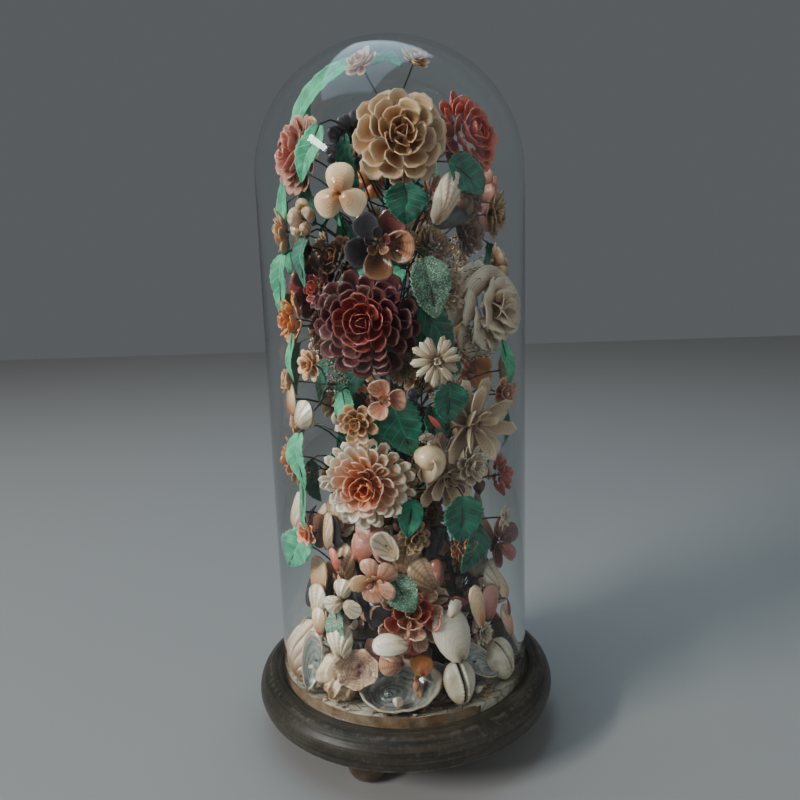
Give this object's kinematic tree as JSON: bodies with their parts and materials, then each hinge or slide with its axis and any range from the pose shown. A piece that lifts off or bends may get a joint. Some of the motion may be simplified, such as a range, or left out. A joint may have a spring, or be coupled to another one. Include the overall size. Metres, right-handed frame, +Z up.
{
  "type": "glass display dome",
  "caption": "Tall clear glass dome over a bouquet of shell flowers and cloth leaves, on a round turned wooden base with bun feet.",
  "frame": {"origin": "on the surface that the feet stand on, below the dome's axis", "axes": "+Z up along the dome's axis, -Y towards the side that the picture shows, +X to its right"},
  "size_m": [0.2294, 0.2294, 0.5058],
  "materials": {
    "glass": "clear blown glass, faintly green",
    "base_wood": "worn black-brown paint and varnish over turned wood",
    "foot_wood": "worn brown varnish",
    "ground_paper": "cracked plaster and paper, dusty",
    "edge_strip": "thin veneer strip, orange-brown",
    "mound": "dark rockwork of shells, paper and glue",
    "wire": "wire wrapped in dark thread",
    "cream_shell": "cream and tan shell, satin",
    "coral_shell": "coral-red dyed shell",
    "mauve_shell": "mauve and brown shell",
    "slate_shell": "slate-blue mussel shell",
    "tan_shell": "tan ribbed shell",
    "brown_shell": "brown and blue-black mussel shell",
    "crimson_shell": "crimson and dark purple shell",
    "orange_shell": "orange shell",
    "white_shell": "off-white shell",
    "flame_shell": "white to orange-red shell",
    "pink_shell": "salmon-pink shell",
    "pale_leaf": "pale green stiffened cloth",
    "emerald_leaf": "emerald dyed stiffened cloth",
    "mica_leaf": "green cloth with mica glitter",
    "nacre": "mother-of-pearl"
  },
  "bodies": {
    "root": {"glass_dome": "glass", "turned_base": "base_wood", "bun_foot_1": "foot_wood", "bun_foot_2": "foot_wood", "bun_foot_3": "foot_wood", "ground_disc": "ground_paper", "edge_strip": "edge_strip", "shell_mound": "mound", "wire_bundle": "wire", "dahlia_cream": "cream_shell", "dahlia_coral": "coral_shell", "dahlia_mauve": "mauve_shell", "dahlia_slate": "slate_shell", "clam_trefoil": "cream_shell", "snail_cluster": "tan_shell", "blossom_straw_left": "cream_shell", "snail_brown_cluster": "brown_shell", "blossom_straw_right": "tan_shell", "mussel_blossom": "brown_shell", "dahlia_crimson": "crimson_shell", "blossom_orange_left": "orange_shell", "cone_grey": "tan_shell", "blossom_cockle": "white_shell", "daisy_white": "white_shell", "lily_horn": "tan_shell", "dahlia_flame": "flame_shell", "globe_snail": "cream_shell", "blossom_rust_left": "orange_shell", "blossom_wine_right": "crimson_shell", "blossom_pink_bow": "pink_shell", "cockle_trefoil": "white_shell", "blossom_coral_low": "coral_shell", "dahlia_back_rose": "mauve_shell", "dahlia_back_ivory": "white_shell", "dahlia_back_wine": "crimson_shell", "dahlia_back_amber": "orange_shell", "dahlia_back_blush": "flame_shell", "leaf_ribbon_top": "pale_leaf", "leaf_pale_upper": "pale_leaf", "leaf_veined_right": "emerald_leaf", "leaf_left_upper": "pale_leaf", "leaf_emerald_top": "emerald_leaf", "leaf_mica": "mica_leaf", "leaf_emerald_mid": "emerald_leaf", "leaf_green_left": "pale_leaf", "leaf_emerald_round": "emerald_leaf", "leaf_sea_left": "pale_leaf", "leaf_back_high": "emerald_leaf", "sprig_top": "cream_shell", "sprig_pale_left": "cream_shell", "sprig_centre": "pink_shell", "sprig_back": "white_shell", "cockle_large": "tan_shell", "whelk_thorny": "tan_shell", "oyster_pink": "pink_shell", "ormer_dish": "nacre", "cowrie_front": "white_shell", "cowrie_right": "white_shell", "scallop_white": "white_shell", "cockle_back_left": "white_shell"}
  },
  "joints": []
}
